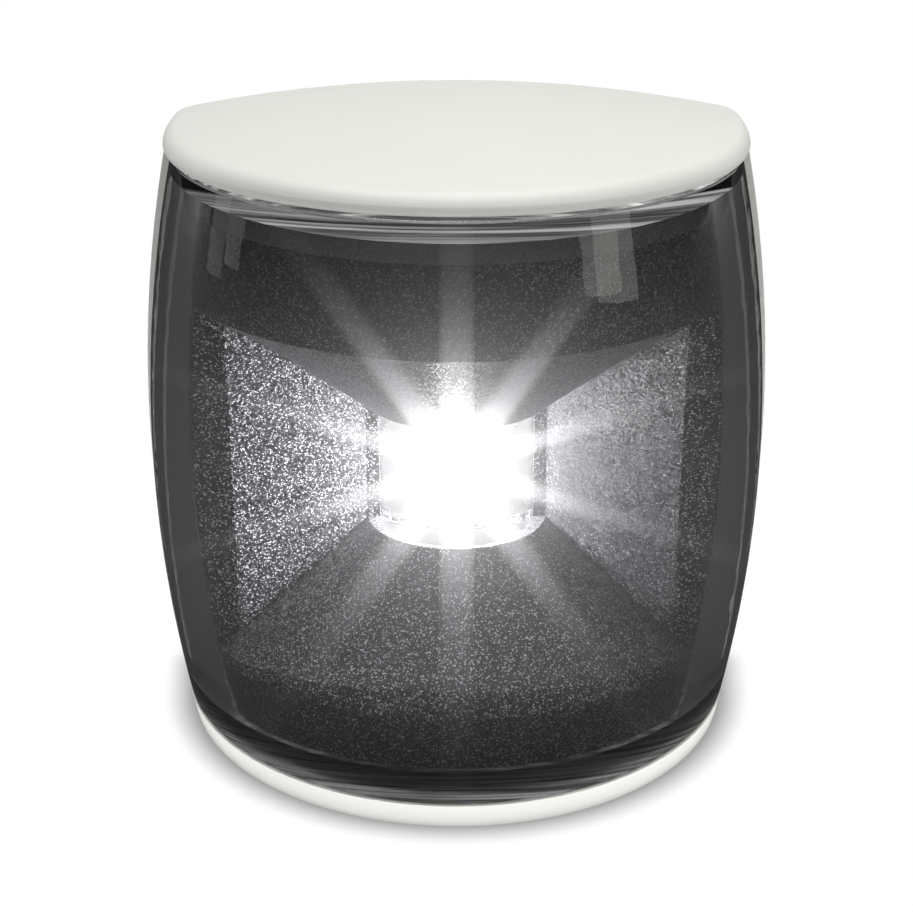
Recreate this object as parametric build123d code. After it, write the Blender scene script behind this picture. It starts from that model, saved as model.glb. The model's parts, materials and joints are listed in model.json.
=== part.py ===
"""Compact sealed LED stern light for a small boat, in millimetres.

Bench frame while modelling: +Z up with z = 0 under the base, y = 0 on the bulkhead, -Y towards the
water.  Every sub-part is shifted down by mount_height when it is written, so that the origin of the
finished part is the middle of the two screw holes, on the bulkhead.  Distances called front, back or
depth are measured from the bulkhead towards the water.
"""
from build123d import *
from math import radians, sqrt, tan
import os

os.makedirs("parts", exist_ok=True)

# ---------------------------------------------------------------- driving dimensions
mount_height = 38.0      # screw line above the underside of the base

# barrel-shaped body: half-ellipse in plan, swelling to its waist
waist_height = 35.0      # of the sides
base_half_width = 35.0
waist_swell = 3.7        # how much wider each side is at the waist than at the base
nose_height = 38.0       # where the front stands out furthest
base_depth = 36.8        # widest line to front, at the base
nose_swell = 2.3
wide_line = 7.5          # widest line in front of the bulkhead
side_skin = 1.15         # housing stands outside the lens, at the top
side_skin_low = 0.6      # and near the base

base_thickness = 2.9
seat_height = 73.2       # cap joint
joint_gap = 0.1
housing_wall = 3.2       # lens outline to the inside of the housing's side wall
wall_inner = 4.6         # bulkhead to the inner face of the housing's back wall
back_edge_round = 2.4

# lift-off cap: shallow dome over a rounded rim
cap_edge_top = 76.0      # where the dome would meet the edge of the cap
dome_rise = 3.7
cap_wall = 2.7
cap_round = 2.3
cap_under_round = 0.9    # lower outer edge
cap_corner_round = 3.4   # back corners
cap_overhang = 0.4       # cap stands in front of the lens
cap_leg_x = 17.0
cap_leg_width = 9.6
cap_leg_depth = 4.0      # how far the legs reach into the housing

# lens and its seal
lens_wall = 4.5
lens_foot = 3.3
lens_roof = 3.4
lens_edge_round = 0.5
seal_thickness = 0.9

# sector horn, LED and optic
light_height = 36.0      # optical centre above the base
sector_angle = 135.0     # arc of visibility of a stern light
horn_wall = 1.8
horn_mouth_half = 11.0
optic_axis = 17.0        # vertical axis of the optic
optic_radius = 9.3
optic_half_height = 7.6
horn_radius = 32.0       # floor and roof are laid out to this radius about the optic's axis
horn_drop = 17.0         # how far the floor falls over that radius, at its ends
horn_rise = 16.0         # how far the roof rises there
horn_open_middle = 20.5  # and how far both open out in the middle
optic_lip = 0.8          # front of the baffle's opening, over the optic's flange
wing_start_x = 25.3      # the plane sides end here and turn outwards
wing_end_x = 33.0
wing_end_front = 23.6
bevel_bottom = 13.3      # bevel on the front edge of the horn's floor
bevel_top = 18.6
bevel_depth = 2.3
slack = 0.3              # baffle to lens
baffle_back = 8.0
baffle_headroom = 2.3    # roof of the lens to the top of the baffle
baffle_shell = 2.0

# electronics stack
board_thickness = 1.6
led_board_back = 13.6
thermal_pad_thickness = 0.5
spreader_thickness = 2.5
driver_board_back = 5.8
stack_screw_x = 26.5
stack_screw_z = (22.0, 44.0)
led_screw_x = 15.4
led_pin_x = 2.54

# bulkhead plate and its dovetail
plate_thickness = 2.6
plate_bottom = 12.0
plate_top = 62.0
plate_half_front = 23.2
plate_half_back = 21.8
plate_slack = 0.2
screw_hole_radius = 2.15
screw_hole_x = 15.5
countersink = 1.8

# cable inlet
cable_height = 57.0
cable_slot_radius = 6.2
cable_bore_radius = 2.7
gland_radius = 4.5

# screws that hold the baffle and the back of the housing together
case_screw_x = 27.3
case_screw_z = (11.5, 61.5)
case_screw_radius = 1.3

far = 100.0              # longer than anything in the lamp

# worked out from the above
seal_back = wide_line - seal_thickness
lens_bottom = base_thickness + joint_gap / 2
lens_top = seat_height - joint_gap / 2
cavity_bottom = lens_bottom + lens_foot
cavity_top = lens_top - lens_roof
baffle_inset = lens_wall + slack
baffle_bottom = cavity_bottom + slack
baffle_top = cavity_top - baffle_headroom
led_front = led_board_back + board_thickness
led_board_top = light_height + 13.4
led_pin_z = light_height + 11.4
led_screw_z = light_height + 2.0
spreader_front = led_board_back - thermal_pad_thickness
spreader_back = spreader_front - spreader_thickness
driver_front = driver_board_back + board_thickness
case_screws_at = [(side * case_screw_x, z) for side in (-1, 1) for z in case_screw_z]
stack_screws_at = [(side * stack_screw_x, z) for side in (-1, 1) for z in stack_screw_z]


# ---------------------------------------------------------------- helpers
def swell(z, waist):
    """1 at the waist, 0 at the base."""
    return 1 - ((z - waist) / waist) ** 2


def half_width(z):
    return base_half_width + waist_swell * swell(z, waist_height)


def front_depth(z):
    return base_depth + nose_swell * swell(z, nose_height)


def skin(z):
    """How far the housing's side stands outside the lens."""
    return side_skin_low + (side_skin - side_skin_low) * z / seat_height


def plan(z, widen, deepen, back=0.0):
    """D-shaped outline at height z: half an ellipse in front, straight sides to the back."""
    a = half_width(z) + widen
    b = front_depth(z) + deepen
    nose = EllipticalCenterArc((0, -wide_line), a, b, start_angle=180, arc_size=180)
    rest = Polyline((a, -wide_line), (a, -back), (-a, -back), (-a, -wide_line))
    return make_face([nose, rest]).moved(Location((0, 0, z)))


def barrel(low, high, grow=lambda z: 0.0, back=0.0, stations=5):
    """Solid between two heights, whose plan follows the barrel, larger by grow(z) all round."""
    heights = [low + (high - low) * i / (stations - 1) for i in range(stations)]
    return loft([plan(z, grow(z), grow(z), back) for z in heights])


def inset(distance):
    return lambda z: -distance


def block(x0, x1, front, back, z0, z1):
    """Box between two depths, front being the one further from the bulkhead."""
    centre = Pos((x0 + x1) / 2, -(front + back) / 2, (z0 + z1) / 2)
    return centre * Box(x1 - x0, front - back, z1 - z0)


def pad(x, z, width, height, front, back):
    """Box centred on (x, z)."""
    return block(x - width / 2, x + width / 2, front, back, z - height / 2, z + height / 2)


def rod(x, z, radius, front, back):
    """Cylinder along Y between two depths."""
    return Pos(x, -(front + back) / 2, z) * Rot(90, 0, 0) * Cylinder(radius, front - back)


def slab(front, back):
    """Everything between two depths."""
    return block(-far, far, front, back, -far, far)


def union(shapes):
    whole = shapes[0]
    for shape in shapes[1:]:
        whole = whole + shape
    return whole


def polygon(points):
    return make_face(Polyline(*points, close=True))


def between(lower, upper):
    """Solid between two polygons that have the same corners in plan."""
    faces = [polygon(lower), polygon(upper)]
    for i in range(len(lower)):
        faces.append(polygon([lower[i - 1], lower[i], upper[i], upper[i - 1]]))
    return Solid(Shell(faces))


def write(name, *solids):
    """Move to the part's own frame and write one sub-part."""
    moved = [s.moved(Location((0, 0, -mount_height))) for s in solids]
    shape = moved[0] if len(moved) == 1 else Compound(children=moved)
    export_step(shape, f"parts/{name}.step")


def cross_recess(x, z, reach, front, back, width=0.7):
    return pad(x, z, 2 * reach, width, front, back) + pad(x, z, width, 2 * reach, front, back)


def pan_screw(x, z, seat, head_height, head_radius, shank_radius, shank_back):
    """Cross-recess screw along Y, driven from the front; its head stands on the seat."""
    head = rod(x, z, head_radius, seat + head_height, seat)
    shank = rod(x, z, shank_radius, seat, shank_back)
    recess_floor = seat + 0.45 * head_height
    return head + shank - cross_recess(x, z, 0.55 * head_radius, seat + far, recess_floor)


# ---------------------------------------------------------------- bulkhead plate and gasket
def dovetail(half_front, half_back, thickness, bottom, top):
    """Upright dovetail, wider towards the lamp."""
    corners = [(-half_back, 0), (half_back, 0), (half_front, -thickness), (-half_front, -thickness)]
    outline = polygon(corners).moved(Location((0, 0, bottom)))
    return extrude(outline, top - bottom, dir=(0, 0, 1))


def mounting_plate():
    plate = dovetail(plate_half_front, plate_half_back, plate_thickness, plate_bottom, plate_top)
    plate -= rod(0, cable_height, cable_slot_radius, far, -1)
    plate -= block(-cable_slot_radius, cable_slot_radius, far, -1, cable_height, far)
    pocket_floor = 1.2
    for side in (-1, 1):
        x = side * screw_hole_x
        plate -= rod(x, mount_height, screw_hole_radius, far, -1)
        sink = Pos(x, countersink / 2 - plate_thickness, mount_height) * Rot(90, 0, 0)
        plate -= sink * Cone(screw_hole_radius, screw_hole_radius + countersink, countersink)
        plate -= pad(x, 23.5, 8, 13, far, pocket_floor)
    return plate


def gasket_ring(grow=0.0):
    """Inverted U: the bottom stays open so that trapped water drains."""
    depth = 1.5
    band = 3.2
    half, bottom, top = 33.9, 5.0, 68.3
    outer = block(-half - grow, half + grow, depth, 0, bottom - grow, top + grow)
    inner = block(band - half + grow, half - band - grow, far, -1, -far, top - band - grow)
    return outer - inner


# ---------------------------------------------------------------- white mouldings
def housing():
    tray = barrel(0, seat_height, skin) & slab(seal_back - joint_gap, 0)
    back_edges = tray.edges().filter_by_position(Axis.Y, -0.01, 0.01)
    upright = [e for e in back_edges if e.length > seat_height - 5]
    tray = fillet(upright, back_edge_round)
    base = barrel(0, base_thickness, lambda z: 0.1, 0.0, 3) & slab(far, 1.0)
    body = tray + base
    pocket = barrel(base_thickness, seat_height + 1, inset(housing_wall), 0.0)
    body -= pocket & slab(far, wall_inner)
    body -= dovetail(
        plate_half_front + plate_slack,
        plate_half_back + plate_slack,
        plate_thickness + plate_slack,
        -1,
        plate_top + joint_gap,
    )
    for side in (-1, 1):
        leg_slot_depth = cap_leg_depth + 0.2
        body -= block(
            side * cap_leg_x - cap_leg_width / 2 - 0.2,
            side * cap_leg_x + cap_leg_width / 2 + 0.2,
            4.4,
            2.1,
            seat_height - leg_slot_depth,
            far,
        )
    for x, z in case_screws_at:
        body -= rod(x, z, case_screw_radius + 0.35, far, -1)
        body -= rod(x, z, 3.0, 2.4, -1)
    for x, z in stack_screws_at:
        body += rod(x, z, 3.0, driver_board_back, wall_inner - 0.5)
        body -= rod(x, z, 1.2, driver_board_back + 1, 1.6)
    body -= rod(0, cable_height, gland_radius, far, 0)
    body -= gasket_ring(0.15)
    return body - underside_recess()


def underside_recess():
    """Shallow hollow under the base, crossed by three ribs."""
    rib_width, recess_height, rim = 1.6, 1.0, 2.6
    hollow = barrel(-1, recess_height, inset(rim), 0, 3) & slab(far, wide_line + 2)
    ribs = union([pad(x, 0, rib_width, 4, far, 0) for x in (-20, 0, 20)])
    return hollow - ribs


def top_cap():
    rim_skin = skin(seat_height)
    radius = half_width(seat_height) + rim_skin
    sphere_radius = (radius**2 + dome_rise**2) / (2 * dome_rise)
    centre = Pos(0, -wide_line, cap_edge_top + dome_rise - sphere_radius)
    heights = [seat_height + joint_gap + 4 * i for i in range(3)]
    body = loft([plan(z, rim_skin, cap_overhang) for z in heights])
    back_corners = [e for e in body.edges() if abs(e.center().X) > 30 and abs(e.center().Y) < 0.01]
    body = fillet(back_corners, cap_corner_round)
    body = body & (centre * Sphere(sphere_radius))
    rim = [e for e in body.edges() if e.center().Z > cap_edge_top - 0.6]
    body = fillet([e for e in rim if e.center().Y < -1.0], cap_round)
    under = [e for e in body.edges() if e.bounding_box().max.Z < seat_height + joint_gap + 0.01]
    body = fillet([e for e in under if e.center().Y < -1.0], cap_under_round)
    rim_wall = 2.4
    hollow = extrude(plan(seat_height, rim_skin - rim_wall, -rim_wall, rim_wall), 12, dir=(0, 0, 1))
    body -= hollow & (centre * Sphere(sphere_radius - cap_wall))
    for side in (-1, 1):
        foot = seat_height - cap_leg_depth
        leg = block(
            side * cap_leg_x - cap_leg_width / 2,
            side * cap_leg_x + cap_leg_width / 2,
            4.25,
            2.25,
            foot,
            cap_edge_top,
        )
        leg_tip = [e for e in leg.edges() if e.center().Z < foot + 0.1]
        body += chamfer(leg_tip, 0.5)
    return body


# ---------------------------------------------------------------- clear lens and its seal
def lens():
    shell = barrel(lens_bottom, lens_top) & slab(far, wide_line)
    shell = fillet([e for e in shell.edges() if e.center().Y < -30], lens_edge_round)
    return shell - barrel(cavity_bottom, cavity_top, inset(lens_wall))


def lens_seal():
    """Black gasket under the whole of the lens's back rim."""
    ring = barrel(lens_bottom, lens_top, inset(0.15)) & slab(wide_line, seal_back)
    return ring - barrel(cavity_bottom - 0.4, cavity_top + 0.4, inset(lens_wall - 0.4))


# ---------------------------------------------------------------- black sector baffle
side_slope = tan(radians(90 - sector_angle / 2))
nose_front = optic_axis + optic_radius + 0.4


def far_end(x_in):
    """Where a plane side that starts at x_in reaches the horn's radius: x and depth."""
    qa = 1 + side_slope**2
    qb = 2 * x_in
    qc = x_in**2 - horn_radius**2
    run = (sqrt(qb**2 - 4 * qa * qc) - qb) / (2 * qa)
    return x_in + run, optic_axis + side_slope * run


def horn(grow=0.0):
    """Space of the horn: floor and roof open out round the optic, sides on the sector's limits."""
    x_in = horn_mouth_half + grow
    x_out, out_front = far_end(x_in)
    opening_in = optic_half_height + grow
    floor_out = light_height - opening_in - horn_drop
    roof_out = light_height + opening_in + horn_rise
    inner = []
    outer = []
    for sign, z_out in ((-1, floor_out), (1, roof_out)):
        z = light_height + sign * opening_in
        inner.append(ThreePointArc((-x_in, -optic_axis, z), (0, -nose_front, z), (x_in, -optic_axis, z)))
        middle = (0, -optic_axis - horn_radius, z + sign * horn_open_middle)
        outer.append(ThreePointArc((-x_out, -out_front, z_out), middle, (x_out, -out_front, z_out)))
    faces = [
        Face.make_surface_from_curves(inner[0], outer[0]),
        Face.make_surface_from_curves(inner[1], outer[1]),
        Face.make_surface_from_curves(inner[0], inner[1]),
        Face.make_surface_from_curves(outer[0], outer[1]),
    ]
    for side in (-1, 1):
        faces.append(
            polygon(
                [
                    (side * x_in, -optic_axis, light_height - opening_in),
                    (side * x_out, -out_front, floor_out),
                    (side * x_out, -out_front, roof_out),
                    (side * x_in, -optic_axis, light_height + opening_in),
                ]
            )
        )
    return Solid(Shell(faces))


def wing(side, grow=0.0):
    """Space beyond the end of a plane side, where the horn turns out to the lens's wall."""
    lap = 0.3
    x_out, out_front = far_end(horn_mouth_half)
    start_front = optic_axis + side_slope * (wing_start_x - horn_mouth_half)
    part_way = (wing_start_x - horn_mouth_half) / (x_out - horn_mouth_half)
    corners = [
        (wing_start_x - lap * side_slope, start_front + lap - grow, part_way),
        (wing_end_x, wing_end_front - grow, 1),
        (x_out - lap * side_slope, out_front + lap, 1),
    ]
    floor_in = light_height - optic_half_height - grow
    roof_in = light_height + optic_half_height + grow
    lower = [(side * x, -front, floor_in - horn_drop * share) for x, front, share in corners]
    upper = [(side * x, -front, roof_in + horn_rise * share) for x, front, share in corners]
    return between(lower, upper)


def nose_pocket(grow=0.0):
    """Room for the optic between the horn's inner edge and its mouth."""
    x_in = horn_mouth_half + grow
    arc = ThreePointArc((-x_in, -optic_axis), (0, -nose_front), (x_in, -optic_axis))
    chord = Line((x_in, -optic_axis), (-x_in, -optic_axis))
    bottom = light_height - optic_half_height - grow
    outline = make_face([arc, chord]).moved(Location((0, 0, bottom)))
    return extrude(outline, 2 * (optic_half_height + grow), dir=(0, 0, 1))


def floor_bevel():
    """Wedge-shaped ring that takes the front edge off the horn's floor."""
    start_outside = 0.05
    slope = bevel_depth / (bevel_top - bevel_bottom)

    def face(z):
        return start_outside - baffle_inset - slope * (z - bevel_bottom)

    ring = barrel(bevel_bottom, bevel_top, inset(baffle_inset - 1)) - barrel(bevel_bottom, bevel_top, face)
    return ring & slab(far, optic_axis + side_slope * (wing_start_x - horn_mouth_half) + 1)


def sector_baffle():
    outer = barrel(baffle_bottom, baffle_top, inset(baffle_inset)) & slab(far, baffle_back)
    inner = barrel(
        baffle_bottom + baffle_shell, baffle_top - baffle_shell, inset(baffle_inset + baffle_shell)
    )
    wings = [wing(side, horn_wall) for side in (-1, 1)]
    funnel = union([horn(horn_wall), nose_pocket(horn_wall)] + wings) & outer
    collar = pad(0, light_height, 26.4, 2 * optic_half_height + 3.6, optic_axis + 0.4, led_front + 0.1)
    body = outer - inner + funnel + collar
    for x, z in case_screws_at:
        body += rod(x, z, 3.0, 16.0, seal_back + joint_gap)
    body -= horn()
    body -= nose_pocket()
    body -= optic_flange(0.1)
    window_half = optic_radius + 0.15
    body -= block(
        -window_half,
        window_half,
        optic_axis + 0.1,
        optic_axis - optic_lip,
        light_height - optic_half_height,
        light_height + optic_half_height,
    )
    for side in (-1, 1):
        body -= wing(side)
    body -= floor_bevel()
    for x, z in case_screws_at:
        body -= rod(x, z, case_screw_radius, 14.0, 0)
    return body


# ---------------------------------------------------------------- light source
def optic_flange(grow=0.0):
    width, height = 22.8 + 2 * grow, 13.6 + 2 * grow
    return pad(0, light_height, width, height, optic_axis - optic_lip + grow, led_front)


def led_optic():
    """Clear half-round column that spreads the light sideways, on a flange."""
    column_height = 2 * optic_half_height - 0.3
    column = Pos(0, -optic_axis, light_height) * Cylinder(optic_radius, column_height)
    body = (column & slab(far, optic_axis - optic_lip)) + optic_flange()
    return body - Pos(0, -led_front, light_height) * Sphere(2.9)


package_height = 0.8


def led_package():
    return pad(0, light_height, 3.5, 3.5, led_front + package_height, led_front)


def led_dome():
    ball = Pos(0, -led_front - package_height, light_height) * Sphere(1.5)
    return ball & slab(far, led_front + package_height)


def led_board():
    board = block(-18, 18, led_front, led_board_back, light_height - 9, led_board_top)
    for side in (-1, 1):
        board -= rod(side * led_screw_x, led_screw_z, 1.15, far, 0)
        board -= rod(side * led_pin_x, led_pin_z, 0.5, far, 0)
    return board


def thermal_pad():
    sheet = block(-17.5, 17.5, led_board_back, spreader_front, light_height - 8.5, led_board_top - 5)
    for side in (-1, 1):
        sheet -= rod(side * led_screw_x, led_screw_z, 1.3, far, 0)
    return sheet


def heat_spreader():
    low, high = stack_screw_z[0] - 5, stack_screw_z[1] + 8
    plate = block(-30, 30, spreader_front, spreader_back, low, high)
    plate = fillet(plate.edges().filter_by(Axis.Y), 3)
    plate -= pad(0, led_pin_z, 10, 4, far, 0)
    for x, z in stack_screws_at:
        plate -= rod(x, z, 1.4, far, 0)
    for side in (-1, 1):
        plate -= rod(side * led_screw_x, led_screw_z, 1.0, far, 0)
    return plate


def led_screws():
    return [
        pan_screw(side * led_screw_x, led_screw_z, led_front, 1.2, 1.9, 1.0, spreader_back + 0.4)
        for side in (-1, 1)
    ]


# ---------------------------------------------------------------- driver
def driver_board():
    board = block(-30, 30, driver_front, driver_board_back, 16.5, 49.5)
    board = fillet(board.edges().filter_by(Axis.Y), 2)
    for x, z in stack_screws_at:
        board -= rod(x, z, 1.4, far, 0)
    for side in (-1, 1):
        board -= rod(side * led_pin_x, led_pin_z, 0.5, far, 0)
    return board


def on_driver(x, z, width, height, depth):
    return pad(x, z, width, height, driver_front + depth, driver_front)


def driver_inductor():
    body = on_driver(-13, 26, 7.2, 7.2, 2.9)
    return fillet(body.edges().filter_by(Axis.Y), 1.0)


def driver_capacitors():
    return [on_driver(x, z, 3.2, 2.5, 1.8) for x, z in ((-3, 22), (-3, 27), (10, 41), (15, 41))]


def driver_controller():
    x, z = 4.5, 30.0
    body = on_driver(x, z, 5.0, 4.0, 1.4)
    pitch = 1.2
    legs = [
        on_driver(x + side * 2.9, z + (row - 1.5) * pitch, 0.8, 0.4, 0.4)
        for side in (-1, 1)
        for row in range(4)
    ]
    return union([body] + legs)


def driver_diodes():
    return [on_driver(x, z, 4.3, 2.6, 2.1) for x, z in ((13, 24), (13, 29), (-12, 38))]


def driver_resistors():
    row = [on_driver(6 + 2.2 * i, 36.5, 1.25, 2.0, 0.5) for i in range(4)]
    column = [on_driver(-4, 33 + 2.6 * i, 1.25, 2.0, 0.5) for i in range(3)]
    return row + column


def board_spacers():
    return [
        rod(x, z, 2.6, spreader_back, driver_front) - rod(x, z, 1.4, far, 0) for x, z in stack_screws_at
    ]


def board_screws():
    return [pan_screw(x, z, spreader_front, 1.6, 2.4, 1.2, 1.8) for x, z in stack_screws_at]


def led_pins():
    front = led_front + 0.6
    back = driver_board_back - 0.5
    return [rod(side * led_pin_x, led_pin_z, 0.45, front, back) for side in (-1, 1)]


# ---------------------------------------------------------------- back of the lamp
def case_screws():
    """Self-tapping screws through the back wall, heads in counterbores on the bulkhead side."""
    head_back, head_seat, tip = 0.5, 2.4, 13.5
    screws = []
    for x, z in case_screws_at:
        screw = rod(x, z, 2.7, head_seat, head_back) + rod(x, z, case_screw_radius, tip, head_seat)
        screws.append(screw - cross_recess(x, z, 1.5, head_back + 1.0, 0))
    return screws


def cable_gland():
    body = rod(0, cable_height, gland_radius, wall_inner, plate_thickness + plate_slack + 0.1)
    body += rod(0, cable_height, 6.6, wall_inner + 1.6, wall_inner)
    body += rod(0, cable_height, 4.2, wall_inner + 4.5, wall_inner + 1.6)
    return body - rod(0, cable_height, cable_bore_radius, far, 0)


def gland_clamp():
    ring = rod(0, cable_height, 5.4, wall_inner + 4.2, wall_inner + 1.8)
    return ring - rod(0, cable_height, 4.2, far, 0)


# ---------------------------------------------------------------- write every sub-part
write("mounting_plate", mounting_plate())
write("wall_gasket", gasket_ring())
write("housing", housing())
write("top_cap", top_cap())
write("lens", lens())
write("lens_seal", lens_seal())
write("sector_baffle", sector_baffle())
write("led_optic", led_optic())
write("led_package", led_package())
write("led_dome", led_dome())
write("led_board", led_board())
write("led_screws", *led_screws())
write("thermal_pad", thermal_pad())
write("heat_spreader", heat_spreader())
write("led_pins", *led_pins())
write("driver_board", driver_board())
write("driver_inductor", driver_inductor())
write("driver_capacitors", *driver_capacitors())
write("driver_controller", driver_controller())
write("driver_diodes", *driver_diodes())
write("driver_resistors", *driver_resistors())
write("board_spacers", *board_spacers())
write("board_screws", *board_screws())
write("case_screws", *case_screws())
write("cable_gland", cable_gland())
write("gland_clamp", gland_clamp())
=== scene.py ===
import json
from math import pi, radians

import bpy
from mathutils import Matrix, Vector


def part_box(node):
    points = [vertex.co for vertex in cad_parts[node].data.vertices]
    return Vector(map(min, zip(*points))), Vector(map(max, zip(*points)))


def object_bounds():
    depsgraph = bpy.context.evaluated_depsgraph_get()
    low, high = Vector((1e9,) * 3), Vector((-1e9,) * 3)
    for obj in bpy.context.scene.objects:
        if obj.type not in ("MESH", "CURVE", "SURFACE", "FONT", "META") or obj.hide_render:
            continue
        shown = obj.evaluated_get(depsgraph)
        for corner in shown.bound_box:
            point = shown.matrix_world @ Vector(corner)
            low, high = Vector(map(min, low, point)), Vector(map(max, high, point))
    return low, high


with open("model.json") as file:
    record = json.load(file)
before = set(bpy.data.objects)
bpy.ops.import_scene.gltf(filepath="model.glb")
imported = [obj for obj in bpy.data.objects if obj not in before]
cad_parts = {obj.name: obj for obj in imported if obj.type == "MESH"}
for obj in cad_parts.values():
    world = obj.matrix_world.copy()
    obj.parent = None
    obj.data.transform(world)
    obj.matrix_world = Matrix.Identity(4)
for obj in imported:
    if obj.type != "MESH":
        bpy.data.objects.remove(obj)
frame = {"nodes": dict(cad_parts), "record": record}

cad_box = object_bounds()
floor_height = cad_box[0][2]

# ---------------------------------------------------------------- driving values, in metres
camera_place = (0.0, -0.2321, 0.08437)
camera_pitch = 21.9          # degrees below the horizon
camera_lens = 73.72          # millimetres, like the sensor
sensor_width = 36.0

spark_size = 0.00014         # one pit of the spark-eroded texture
spark_tilt = 0.7             # how far the pits lean
spark_dark = (0.006, 0.006, 0.0066, 1.0)
spark_pale = (0.011, 0.011, 0.012, 1.0)
# colour of the painted glints: pale specks in the black that stand in for pits catching the light
spark_painted_glint = (0.25, 0.25, 0.265, 1.0)

acrylic_ior = 1.49
passed_light = 0.5           # share of a shadow ray's light that one clear surface lets through
bonded_depth = 0.00012       # depth of the film, with its painted streaks and glow, on the faces of the lens that are bonded

led_power = 60000.0          # emission of the lit dome
optic_glow = 12.0            # light that the optic spreads over the horn near it
core_glow = 8.0              # gains of the camera's bloom, haze and rays round the LED
haze_glow = 2.2
ray_glow = 0.35
glare_threshold = 3.0        # only brighter parts of the picture glare
ray_count = 10

painted_shadow_reach = 0.0045       # how near the lamp has to be for the paper's painted contact shadow
near_paper = 0.06            # paper nearer to the lamp's middle than this bounces near_bounce
far_paper = 0.11             # and paper farther than this bounces far_bounce
near_bounce = 2.3
far_bounce = 0.45
floor_half = 3.0


# ---------------------------------------------------------------- node helpers
def node(tree, kind, inputs=None, **settings):
    """Make a shader node; inputs may be plain values or sockets to link from."""
    made = tree.nodes.new("ShaderNode" + kind)
    for name, value in settings.items():
        setattr(made, name, value)
    for name, value in (inputs or {}).items():
        join(tree, value, made.inputs[name])
    return made


def join(tree, value, socket):
    if isinstance(value, bpy.types.NodeSocket):
        tree.links.new(value, socket)
    else:
        socket.default_value = value


def new_material(name):
    material = bpy.data.materials.new(name)
    material.use_nodes = True
    tree = material.node_tree
    shader = tree.nodes["Principled BSDF"]
    place = node(tree, "TexCoord").outputs["Object"]
    return material, tree, shader, place


def show(tree, surface):
    """Put a shader on the material's surface in place of the plain one."""
    tree.links.new(surface, tree.nodes["Material Output"].inputs["Surface"])


def noise(tree, place, size, detail=2.0):
    """Noise whose features are about size metres across."""
    return node(tree, "TexNoise", {"Vector": place, "Scale": 1.0 / size, "Detail": detail}).outputs["Fac"]


def stretched(tree, place, factor):
    """Texture place in which every feature is factor times as long along X."""
    return node(tree, "Mapping", {"Vector": place, "Scale": (1.0 / factor, 1.0, 1.0)}).outputs["Vector"]


def span(tree, value, low, high, start=0.3, end=0.7):
    """Stretch a value from start-end to low-high; noise mostly lies between 0.3 and 0.7."""
    inputs = {"Value": value, "From Min": start, "From Max": end, "To Min": low, "To Max": high}
    return node(tree, "MapRange", inputs).outputs["Result"]


def times(tree, first, second):
    return node(tree, "Math", {0: first, 1: second}, operation="MULTIPLY").outputs["Value"]


def vector_math(tree, operation, inputs):
    return node(tree, "VectorMath", inputs, operation=operation).outputs["Vector"]


def blend_colours(tree, factor, first, second):
    mix = node(tree, "Mix", data_type="RGBA")
    join(tree, factor, mix.inputs["Factor"])
    join(tree, first, mix.inputs[6])
    join(tree, second, mix.inputs[7])
    return mix.outputs[2]


def blend_shaders(tree, factor, first, second):
    return node(tree, "MixShader", {0: factor, 1: first, 2: second}).outputs["Shader"]


def emission(tree, strength):
    return node(tree, "Emission", {"Strength": strength}).outputs["Emission"]


def raised(tree, height, strength, distance, normal=None):
    inputs = {"Height": height, "Strength": strength, "Distance": distance}
    if normal:
        inputs["Normal"] = normal
    return node(tree, "Bump", inputs).outputs["Normal"]


def shade(colour, factor):
    return tuple(factor * part for part in colour[:3]) + (1.0,)


# ---------------------------------------------------------------- materials
def grained(name, colour, roughness, grain, depth, spread):
    """Solid material with a slightly uneven colour and gloss and a fine grain."""
    material, tree, shader, place = new_material(name)
    cloud = noise(tree, place, 0.012, 4.0)
    tone = blend_colours(tree, cloud, shade(colour, 1.0 - spread), shade(colour, 1.0 + spread / 2))
    join(tree, tone, shader.inputs["Base Color"])
    scuff = noise(tree, place, grain * 6, 5.0)
    join(tree, span(tree, scuff, roughness - 0.06, roughness + 0.08), shader.inputs["Roughness"])
    join(tree, raised(tree, noise(tree, place, grain), 0.5, depth), shader.inputs["Normal"])
    return material


def black_spark():
    """Black moulding with a spark-eroded texture: each pit glints in its own direction, and some pits also
    get painted glints, a pale colour that stands in for their catching the light.
    """
    material, tree, shader, place = new_material("black_textured")
    pits = node(tree, "TexVoronoi", {"Vector": place, "Scale": 1.0 / spark_size}).outputs["Color"]
    chance = node(tree, "SeparateColor", {"Color": pits}).outputs["Red"]
    cloud = noise(tree, place, 0.004, 3.0)
    dull = blend_colours(tree, cloud, spark_dark, spark_pale)
    # painted glints: a share of the pits gets a pale colour in place of the light they catch
    painted_glint = span(tree, chance, 0.0, 1.0, 0.78, 0.94)
    join(tree, blend_colours(tree, painted_glint, dull, spark_painted_glint), shader.inputs["Base Color"])
    join(tree, span(tree, chance, 0.42, 0.24, 0.0, 1.0), shader.inputs["Roughness"])
    lean = vector_math(tree, "SUBTRACT", {0: pits, 1: (0.5, 0.5, 0.5)})
    lean = vector_math(tree, "SCALE", {0: lean, "Scale": spark_tilt})
    straight = node(tree, "NewGeometry").outputs["Normal"]
    facet = vector_math(tree, "ADD", {0: straight, 1: lean})
    facet = vector_math(tree, "NORMALIZE", {0: facet})
    fine = raised(tree, noise(tree, place, spark_size / 2), 0.3, 0.00001, facet)
    join(tree, fine, shader.inputs["Normal"])
    shader.inputs["Specular IOR Level"].default_value = 0.35
    return material


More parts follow.
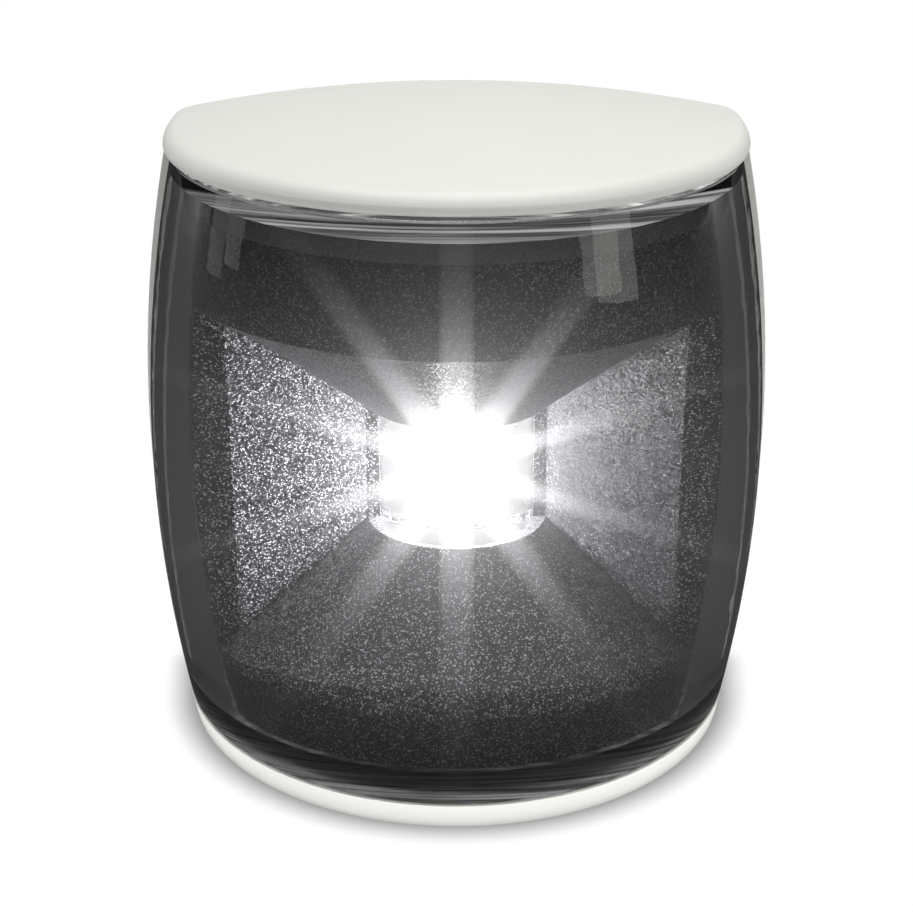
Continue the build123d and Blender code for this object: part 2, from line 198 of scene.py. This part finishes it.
def clear_moulding(name, ripple_size, film=None, glow=0.0):
    """Polished clear moulding, which lets the lamp's own light straight out.

    film covers parts of it, with painted light; glow is light that it sends to matt surfaces and that isn't
    seen itself.
    """
    material, tree, shader, place = new_material(name)
    shader.inputs["Transmission Weight"].default_value = 1.0
    shader.inputs["IOR"].default_value = acrylic_ior
    cloud = noise(tree, place, 0.02, 2.0)
    tone = blend_colours(tree, cloud, (0.985, 0.985, 0.985, 1.0), (1.0, 1.0, 1.0, 1.0))
    join(tree, tone, shader.inputs["Base Color"])
    smears = noise(tree, place, 0.003, 6.0)
    join(tree, span(tree, smears, 0.0, 0.012, 0.55, 0.8), shader.inputs["Roughness"])
    ripples = noise(tree, place, ripple_size, 1.0)
    join(tree, raised(tree, ripples, 0.1, 0.00001), shader.inputs["Normal"])
    surface = shader.outputs["BSDF"]
    ray = node(tree, "LightPath").outputs
    if film:
        surface = film(tree, place, surface)
    if glow:
        spread = emission(tree, times(tree, ray["Is Diffuse Ray"], glow))
        surface = node(tree, "AddShader", {0: surface, 1: spread}).outputs["Shader"]
    passed = (passed_light, passed_light, passed_light, 1.0)
    through = node(tree, "BsdfTransparent", {"Color": passed}).outputs["BSDF"]
    show(tree, blend_shaders(tree, ray["Is Shadow Ray"], surface, through))
    return material


def bonded_film_and_painted_light(tree, place, clear):
    """Pale film on the top and bottom of the lens, where it is bonded; its streaky pale colour is painted
    highlights.

    The film on the top also has a painted glow, which stands in for the LED's light that the lens pipes up
    to it.
    """
    low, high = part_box("lens")
    height = node(tree, "SeparateXYZ", {"Vector": place}).outputs["Z"]
    under = span(tree, height, 0.75, 0.0, low[2] + bonded_depth, low[2] + 1.1 * bonded_depth)
    over = span(tree, height, 0.0, 0.95, high[2] - 1.1 * bonded_depth, high[2] - bonded_depth)
    cover = node(tree, "Math", {0: under, 1: over}, operation="MAXIMUM").outputs["Value"]
    along = stretched(tree, place, 20.0)
    streaks = noise(tree, along, 0.0012, 5.0)
    # painted highlights: the film's pale streaks stand in for streaky light in the lens's top and foot
    painted_streaks = span(tree, streaks, 0.08, 0.7, 0.38, 0.7)
    film = node(tree, "BsdfDiffuse", {"Color": painted_streaks}).outputs["BSDF"]
    patches = span(tree, noise(tree, along, 0.0035, 2.0), 0.2, 1.0, 0.35, 0.65)
    upper_half = span(tree, height, 0.0, 1.0, -0.001, 0.0)
    # painted glow on the top film, standing in for the light that the lens pipes up from the LED
    painted_glow = times(tree, times(tree, painted_streaks, patches), upper_half)
    film = node(tree, "AddShader", {0: film, 1: emission(tree, painted_glow)}).outputs["Shader"]
    return blend_shaders(tree, cover, clear, film)


def lit_silicone():
    """Dome over the LED chips, lit."""
    material, tree, shader, place = new_material("led_silicone")
    cloud = noise(tree, place, 0.0006, 3.0)
    tone = blend_colours(tree, cloud, (0.95, 0.97, 1.0, 1.0), (1.0, 1.0, 1.0, 1.0))
    join(tree, tone, shader.inputs["Base Color"])
    join(tree, tone, shader.inputs["Emission Color"])
    join(tree, span(tree, cloud, 0.15, 0.3), shader.inputs["Roughness"])
    shader.inputs["Emission Strength"].default_value = led_power
    return material


def circuit_board():
    """Green solder mask over faint copper runs."""
    material, tree, shader, place = new_material("circuit_board")
    inputs = {"Vector": place, "Scale": 700.0}
    runs = node(tree, "TexVoronoi", inputs, distance="MANHATTAN", feature="F2").outputs["Distance"]
    copper = span(tree, runs, 0.0, 1.0, 0.45, 0.5)
    tone = blend_colours(tree, copper, (0.012, 0.09, 0.04, 1.0), (0.03, 0.17, 0.07, 1.0))
    join(tree, tone, shader.inputs["Base Color"])
    join(tree, span(tree, noise(tree, place, 0.001), 0.25, 0.4), shader.inputs["Roughness"])
    join(tree, raised(tree, copper, 0.6, 0.00004), shader.inputs["Normal"])
    return material


def brushed(name, colour, roughness, stretch, metal=1.0):
    """Metal with fine lines along X."""
    material, tree, shader, place = new_material(name)
    lines = noise(tree, stretched(tree, place, stretch), 0.00012, 3.0)
    tone = blend_colours(tree, lines, shade(colour, 0.86), shade(colour, 1.0))
    join(tree, tone, shader.inputs["Base Color"])
    join(tree, span(tree, lines, roughness - 0.08, roughness + 0.08), shader.inputs["Roughness"])
    join(tree, raised(tree, lines, 0.35, 0.000008), shader.inputs["Normal"])
    shader.inputs["Metallic"].default_value = metal
    return material


# each grained slot: colour, roughness, grain size, grain depth, spread of colour
grained_slots = {
    "white_plastic": ((0.80, 0.80, 0.765), 0.42, 0.00016, 0.000006, 0.025),
    "plate_plastic": ((0.035, 0.035, 0.037), 0.5, 0.0004, 0.00003, 0.25),
    "seal_rubber": ((0.018, 0.018, 0.018), 0.62, 0.0003, 0.00002, 0.3),
    "foam_rubber": ((0.03, 0.03, 0.03), 0.85, 0.0005, 0.00012, 0.35),
    "thermal_grey": ((0.30, 0.34, 0.38), 0.7, 0.0004, 0.00003, 0.1),
    # kept dark, so that the board doesn't outshine the LED that it carries
    "led_board_white": ((0.012, 0.012, 0.012), 0.3, 0.0005, 0.000008, 0.05),
    "led_ceramic": ((0.82, 0.80, 0.74), 0.45, 0.0001, 0.000005, 0.05),
    "component_black": ((0.025, 0.025, 0.026), 0.5, 0.0001, 0.00001, 0.2),
    "component_tan": ((0.33, 0.22, 0.12), 0.4, 0.0002, 0.000008, 0.12),
    "spacer_nylon": ((0.74, 0.72, 0.66), 0.5, 0.0003, 0.00001, 0.06),
}
materials = {name: grained(name, *look) for name, look in grained_slots.items()}
materials["black_textured"] = black_spark()
materials["clear_lens"] = clear_moulding("clear_lens", 0.012, film=bonded_film_and_painted_light)
materials["clear_optic"] = clear_moulding("clear_optic", 0.006, glow=optic_glow)
materials["led_silicone"] = lit_silicone()
materials["circuit_board"] = circuit_board()
materials["spreader_aluminium"] = brushed("spreader_aluminium", (0.80, 0.81, 0.82), 0.32, 40.0)
materials["stainless"] = brushed("stainless", (0.62, 0.61, 0.59), 0.36, 12.0, 0.65)
materials["brass_pin"] = brushed("brass_pin", (0.72, 0.56, 0.28), 0.3, 12.0)

slot_of = {part["node"]: part["material_slot"] for part in frame["record"]["subparts"]}
for name, part in frame["nodes"].items():
    part.data.materials.clear()
    part.data.materials.append(materials[slot_of[name]])


# ---------------------------------------------------------------- camera
def add_camera():
    data = bpy.data.cameras.new("camera")
    data.lens = camera_lens
    data.sensor_width = sensor_width
    data.clip_start = 0.01
    holder = bpy.data.objects.new("camera", data)
    bpy.context.scene.collection.objects.link(holder)
    holder.location = camera_place
    holder.rotation_euler = (radians(90.0 - camera_pitch), 0.0, 0.0)
    bpy.context.scene.camera = holder


# ---------------------------------------------------------------- studio
def studio_world():
    """White paper behind, dim room round the lamp, a little brighter overhead."""
    world = bpy.data.worlds.new("studio")
    bpy.context.scene.world = world
    world.use_nodes = True
    tree = world.node_tree
    tree.nodes.clear()
    direction = node(tree, "TexCoord").outputs["Generated"]
    height = node(tree, "SeparateXYZ", {"Vector": direction}).outputs["Z"]
    level = span(tree, height, 0.035, 0.5, 0.1, 0.9)
    room = node(tree, "Background", {"Strength": level}).outputs["Background"]
    paper = node(tree, "Background", {"Color": (1.0, 1.0, 1.0, 1.0), "Strength": 1.0}).outputs["Background"]
    seen = node(tree, "LightPath").outputs["Is Camera Ray"]
    output = node(tree, "OutputWorld")
    tree.links.new(blend_shaders(tree, seen, room, paper), output.inputs["Surface"])


def floor_paper():
    """White paper with a painted contact shadow, darker where the lamp stands close over it.

    It shines evenly instead of being lit. It sends extra light up to the lamp, and reflections show it dark.
    """
    material, tree, shader, place = new_material("floor_paper")
    # painted contact shadow: the paper's glow is dimmed where the lamp stands close over it
    painted_shadow_openness = node(tree, "AmbientOcclusion", {"Distance": painted_shadow_reach}, samples=24).outputs["AO"]
    level = span(tree, painted_shadow_openness, 0.35, 1.0, 0.45, 0.96)
    away = node(tree, "VectorMath", {0: place}, operation="LENGTH").outputs["Value"]
    bounce = span(tree, away, near_bounce, far_bounce, near_paper, far_paper)
    ray = node(tree, "LightPath").outputs
    gain = node(tree, "Mix", {0: ray["Is Diffuse Ray"], 2: 1.0, 3: bounce}).outputs[0]
    paper = emission(tree, times(tree, level, gain))
    dark = node(tree, "BsdfDiffuse", {"Color": (0.05, 0.05, 0.05, 1.0)}).outputs["BSDF"]
    show(tree, blend_shaders(tree, ray["Is Glossy Ray"], paper, dark))
    return material


def add_floor():
    mesh = bpy.data.meshes.new("floor")
    corners = [(-1, -1), (1, -1), (1, 1), (-1, 1)]
    mesh.from_pydata([(floor_half * x, floor_half * y, 0.0) for x, y in corners], [], [(0, 1, 2, 3)])
    floor = bpy.data.objects.new("floor", mesh)
    floor.location = (0.0, 0.0, floor_height)
    bpy.context.scene.collection.objects.link(floor)
    floor.data.materials.append(floor_paper())


def softbox(name, place, target, size, radiance, colour=(1.0, 1.0, 1.0), mirrored=True):
    """Rectangular light whose face has the given radiance; it may be kept out of reflections."""
    width, height = size
    data = bpy.data.lights.new(name, "AREA")
    data.shape = "RECTANGLE"
    data.size = width
    data.size_y = height
    data.energy = radiance * pi * width * height
    data.color = colour
    holder = bpy.data.objects.new(name, data)
    bpy.context.scene.collection.objects.link(holder)
    holder.location = place
    holder.rotation_euler = (Vector(target) - Vector(place)).to_track_quat("-Z", "Y").to_euler()
    holder.visible_camera = False
    holder.visible_glossy = mirrored
    holder.visible_transmission = mirrored


def add_lights():
    """Softbox overhead, weak fills round the lamp, and the two strips that the lens mirrors."""
    middle = (0.0, 0.0, 0.0)
    softbox("overhead", (0.0, -0.06, 0.55), (0.0, -0.02, 0.0), (0.55, 0.42), 3.4, (1.0, 1.0, 0.985))
    softbox("front_fill", (0.0, -0.80, 0.42), middle, (0.9, 0.4), 0.3, mirrored=False)
    for side in (-1, 1):
        place = (side * 0.5, 0.35, 0.06)
        softbox(f"side_fill_{side}", place, middle, (0.3, 0.3), 5.0, mirrored=False)
    softbox("left_strip", (-0.17, 0.003, 0.10), (-0.0276, -0.032, 0.02), (0.033, 0.23), 0.4)
    greenish = (0.95, 1.0, 0.92)
    softbox("right_strip", (0.165, -0.115, 0.10), (0.02, -0.04, 0.02), (0.07, 0.23), 1.3, greenish)


# ---------------------------------------------------------------- glare in the camera
def mix_pictures(tree, kind, first, second):
    mix = tree.nodes.new("CompositorNodeMixRGB")
    mix.blend_type = kind
    join(tree, first, mix.inputs[1])
    join(tree, second, mix.inputs[2])
    return mix.outputs["Image"]


def add_glare():
    """Bloom, haze and rays round the lit LED, as a camera shows them."""
    scene = bpy.context.scene
    scene.use_nodes = True
    tree = scene.node_tree
    tree.nodes.clear()
    rendered = tree.nodes.new("CompositorNodeRLayers").outputs["Image"]
    picture = rendered
    rays = {"Streaks": ray_count, "Streaks Angle": pi / ray_count, "Iterations": 5, "Fade": 0.96}
    rays["Color Modulation"] = 0.0
    for kind, gain, values in (
        ("BLOOM", core_glow, {"Size": 0.4}),
        ("BLOOM", haze_glow, {"Size": 0.7}),
        ("STREAKS", ray_glow, rays),
    ):
        glare = tree.nodes.new("CompositorNodeGlare")
        glare.glare_type = kind
        glare.inputs["Threshold"].default_value = glare_threshold
        for name, value in values.items():
            glare.inputs[name].default_value = value
        tree.links.new(rendered, glare.inputs["Image"])
        light = mix_pictures(tree, "MULTIPLY", glare.outputs["Glare"], (gain, gain, 1.02 * gain, 1.0))
        picture = mix_pictures(tree, "ADD", picture, light)
    output = tree.nodes.new("CompositorNodeComposite")
    tree.links.new(picture, output.inputs["Image"])


add_camera()
studio_world()
add_floor()
add_lights()
add_glare()
bpy.context.scene.view_settings.view_transform = "Standard"
